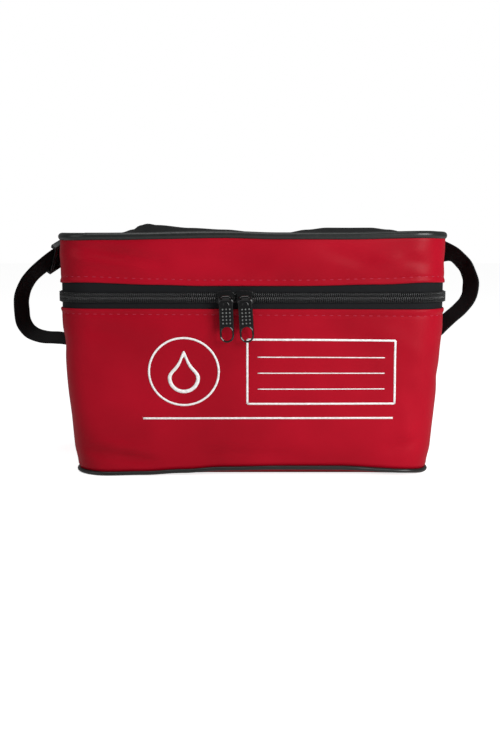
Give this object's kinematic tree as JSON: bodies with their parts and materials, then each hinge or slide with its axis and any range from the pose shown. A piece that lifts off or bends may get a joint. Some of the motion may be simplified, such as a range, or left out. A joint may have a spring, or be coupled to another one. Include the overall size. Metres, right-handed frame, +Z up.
{
  "type": "insulated specimen bag",
  "caption": "Soft insulated bag for carrying specimens: zipped lift-up lid, webbing handle across the lid and a shoulder strap.",
  "frame": {"origin": "middle of the base, on the surface the bag stands on", "axes": "+X to the right along the front, -Y out of the front, +Z up"},
  "size_m": [0.4056, 0.2296, 0.2025],
  "materials": {
    "red_fabric": "coated woven nylon, semi-gloss",
    "black_piping": "extruded soft vinyl, satin",
    "black_tape": "woven polyester tape, matte",
    "nylon_coil": "coiled nylon filament",
    "black_webbing": "woven polypropylene webbing",
    "black_plastic": "moulded acetal",
    "black_metal": "gloss black enamel on zinc casting",
    "insulating_foam": "closed-cell polyethylene foam",
    "grey_lining": "coated lining, wipe-clean",
    "stiffener_board": "solid polypropylene sheet"
  },
  "bodies": {
    "bag_body": {"body_wall": "red_fabric", "base_panel": "red_fabric", "bottom_piping": "black_piping", "base_stiffener": "stiffener_board", "base_foam": "insulating_foam", "wall_foam": "insulating_foam", "body_lining": "grey_lining", "mouth_binding": "black_tape", "lower_zip_tape": "black_tape", "lower_zip_coil": "nylon_coil", "hinge_strip_lower": "black_tape", "zip_end_tab_left": "black_tape", "zip_end_tab_right": "black_tape", "strap_patch_left": "red_fabric", "strap_patch_right": "red_fabric", "shoulder_strap_short": "black_webbing", "shoulder_strap_long": "black_webbing", "strap_adjuster": "black_plastic"},
    "lid": {"lid_skirt": "red_fabric", "lid_panel": "red_fabric", "top_piping": "black_piping", "lid_side_foam": "insulating_foam", "lid_top_foam": "insulating_foam", "lid_lining": "grey_lining", "lid_binding": "black_tape", "upper_zip_tape": "black_tape", "upper_zip_coil": "nylon_coil", "hinge_strip_upper": "black_tape", "grab_handle": "black_webbing"},
    "left_slider": {"left_slider": "black_metal"},
    "right_slider": {"right_slider": "black_metal"},
    "left_pull": {"left_pull": "black_metal"},
    "right_pull": {"right_pull": "black_metal"}
  },
  "joints": [
    {"name": "lid_hinge", "type": "hinge", "parent": "bag_body", "child": "lid", "pos_m": [0, 0.097, 0.145], "axis": [-1, 0, 0], "range_deg": [0, 165]},
    {"name": "left_slider_travel", "type": "slide", "parent": "bag_body", "child": "left_slider", "axis": [-1, 0, 0], "range_m": [0, 0.095]},
    {"name": "right_slider_travel", "type": "slide", "parent": "bag_body", "child": "right_slider", "axis": [1, 0, 0], "range_m": [0, 0.11]},
    {"name": "left_pull_swing", "type": "hinge", "parent": "left_slider", "child": "left_pull", "pos_m": [-0.02, -0.1014, 0.145], "axis": [-1, 0, 0], "range_deg": [0, 160]},
    {"name": "right_pull_swing", "type": "hinge", "parent": "right_slider", "child": "right_pull", "pos_m": [-0.005, -0.1014, 0.145], "axis": [-1, 0, 0], "range_deg": [0, 160]}
  ]
}
